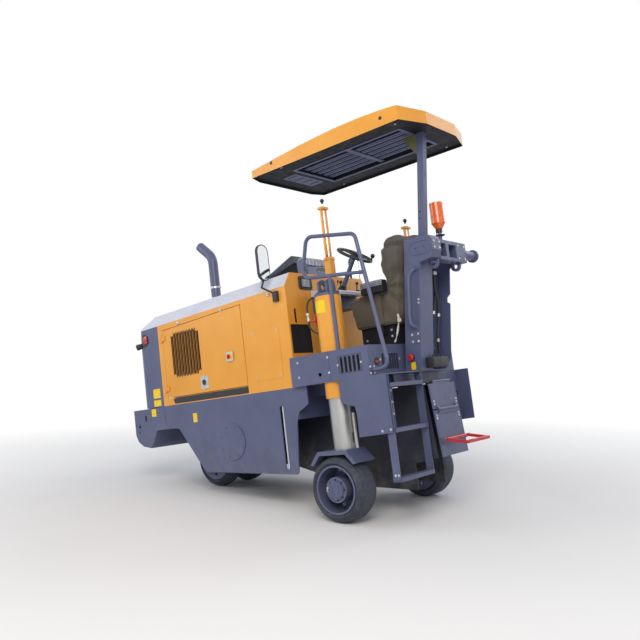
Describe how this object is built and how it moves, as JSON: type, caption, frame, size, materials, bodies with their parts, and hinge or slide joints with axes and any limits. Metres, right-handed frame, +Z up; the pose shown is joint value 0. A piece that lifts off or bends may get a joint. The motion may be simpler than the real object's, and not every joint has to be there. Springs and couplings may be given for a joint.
{
  "type": "cold planer",
  "caption": "Small wheeled cold planer with an engine hood in front, an operator's seat under a canopy at the rear, a drum of cutting tools between the axles and a chute to a hinged rear flap",
  "frame": {"origin": "on the ground under the middle of the bounding box, as the machine parks with its body nose-low", "axes": "X forward along the ground, Y to the machine's left, Z up"},
  "size_m": [3.8426, 1.582, 3.4943],
  "materials": {
    "body_yellow": "gloss",
    "frame_slate": "satin",
    "dark_steel": "matt",
    "pale_cover": "satin",
    "black_parts": "matt",
    "bright_rod": "polished",
    "silver_column": "brushed",
    "tool_steel": "worn",
    "beacon_orange": "gloss",
    "lamp_lens": "gloss",
    "seat_cloth": "woven",
    "black_plastic": "matt",
    "mirror_face": "polished",
    "solid_tyre": "matt",
    "bail_red": "gloss"
  },
  "bodies": {
    "chassis": {"side_frame": "frame_slate", "deck_frame": "frame_slate", "drum_box": "dark_steel", "chute": "dark_steel", "hood_shell": "body_yellow", "hood_top": "pale_cover", "nose": "frame_slate", "engine_block": "black_parts", "exhaust_and_intake": "frame_slate", "platform": "frame_slate", "lower_sides": "frame_slate", "ladder": "frame_slate", "leg_sleeves": "body_yellow", "leg_crowns": "frame_slate", "depth_gauges": "body_yellow", "chrome_rods": "bright_rod", "rear_column": "frame_slate", "hook_block": "frame_slate", "canopy_post": "frame_slate", "canopy_frame": "black_parts", "canopy_shell": "body_yellow", "beacon_lens": "beacon_orange", "lamps": "lamp_lens", "seat_base": "black_parts", "seat_cover": "seat_cloth", "console": "frame_slate", "handrail": "frame_slate", "mirror_arms": "black_plastic", "mirror_glass": "mirror_face"},
    "console_lid": {"console_lid": "black_plastic"},
    "steering_wheel": {"steering_wheel": "black_plastic"},
    "engine_door_left": {"engine_door_left": "body_yellow"},
    "engine_door_right": {"engine_door_right": "body_yellow"},
    "leg_left": {"leg_column_left": "silver_column", "fender_left": "frame_slate"},
    "leg_right": {"leg_column_right": "silver_column", "fender_right": "frame_slate"},
    "rear_wheel_left": {"rear_tyre_left": "solid_tyre", "rear_rim_left": "frame_slate"},
    "rear_wheel_right": {"rear_tyre_right": "solid_tyre", "rear_rim_right": "frame_slate"},
    "front_lift": {"front_lift": "silver_column"},
    "front_axle": {"front_axle": "frame_slate"},
    "front_wheel_left": {"front_tyre_left": "solid_tyre", "front_rim_left": "frame_slate"},
    "front_wheel_right": {"front_tyre_right": "solid_tyre", "front_rim_right": "frame_slate"},
    "milling_drum": {"milling_drum": "dark_steel", "drum_tools": "tool_steel"},
    "flap_upper": {"flap_upper": "frame_slate"},
    "flap_lower": {"flap_lower": "frame_slate"},
    "bail": {"bail": "bail_red"}
  },
  "joints": [
    {"name": "leg_left_slide", "type": "slide", "parent": "chassis", "child": "leg_left", "axis": [0.1374, 0, 0.9905], "range_m": [-0.03, 0.25]},
    {"name": "leg_right_slide", "type": "slide", "parent": "chassis", "child": "leg_right", "axis": [0.1374, 0, 0.9905], "range_m": [-0.03, 0.25]},
    {"name": "front_lift_slide", "type": "slide", "parent": "chassis", "child": "front_lift", "axis": [0.1374, 0, 0.9905], "range_m": [-0.03, 0.15]},
    {"name": "steering", "type": "hinge", "parent": "front_lift", "child": "front_axle", "pos_m": [1.0432, 0, 0.61677], "axis": [0.1374, 0, 0.9905], "range_deg": [-30, 30]},
    {"name": "rear_wheel_left_spin", "type": "hinge", "parent": "leg_left", "child": "rear_wheel_left", "pos_m": [-1.03279, 0.66, 0.28], "axis": [0, 1, 0], "continuous": true},
    {"name": "rear_wheel_right_spin", "type": "hinge", "parent": "leg_right", "child": "rear_wheel_right", "pos_m": [-1.03279, -0.66, 0.28], "axis": [0, 1, 0], "continuous": true},
    {"name": "front_wheel_left_spin", "type": "hinge", "parent": "front_axle", "child": "front_wheel_left", "pos_m": [0.99647, 0.2, 0.28], "axis": [0, 1, 0], "continuous": true},
    {"name": "front_wheel_right_spin", "type": "hinge", "parent": "front_axle", "child": "front_wheel_right", "pos_m": [0.99647, -0.2, 0.28], "axis": [0, 1, 0], "continuous": true},
    {"name": "drum_spin", "type": "hinge", "parent": "chassis", "child": "milling_drum", "pos_m": [0.33933, -0.09, 0.56443], "axis": [0, 1, 0], "continuous": true},
    {"name": "engine_door_left_hinge", "type": "hinge", "parent": "chassis", "child": "engine_door_left", "pos_m": [1.36701, 0.66, 1.27694], "axis": [-0.1374, 0, -0.9905], "range_deg": [0, 100]},
    {"name": "engine_door_right_hinge", "type": "hinge", "parent": "chassis", "child": "engine_door_right", "pos_m": [1.36701, -0.66, 1.27694], "axis": [0.1374, 0, 0.9905], "range_deg": [0, 100]},
    {"name": "console_lid_hinge", "type": "hinge", "parent": "chassis", "child": "console_lid", "pos_m": [-0.16623, 0.05, 2.32048], "axis": [0, -1, 0], "range_deg": [0, 100]},
    {"name": "steering_wheel_turn", "type": "hinge", "parent": "chassis", "child": "steering_wheel", "pos_m": [-0.7254, 0.05, 2.34971], "axis": [-0.4242, 0, 0.9056], "range_deg": [-540, 540]},
    {"name": "flap_upper_hinge", "type": "hinge", "parent": "chassis", "child": "flap_upper", "pos_m": [-1.54755, -0.096, 1.1685], "axis": [0, 1, 0], "range_deg": [0, 70]},
    {"name": "flap_lower_hinge", "type": "hinge", "parent": "flap_upper", "child": "flap_lower", "pos_m": [-1.62206, -0.096, 0.93407], "axis": [0, 1, 0], "range_deg": [0, 30]},
    {"name": "bail_hinge", "type": "hinge", "parent": "flap_lower", "child": "bail", "pos_m": [-1.70437, -0.096, 0.68293], "axis": [0, 1, 0], "range_deg": [0, 60]}
  ]
}
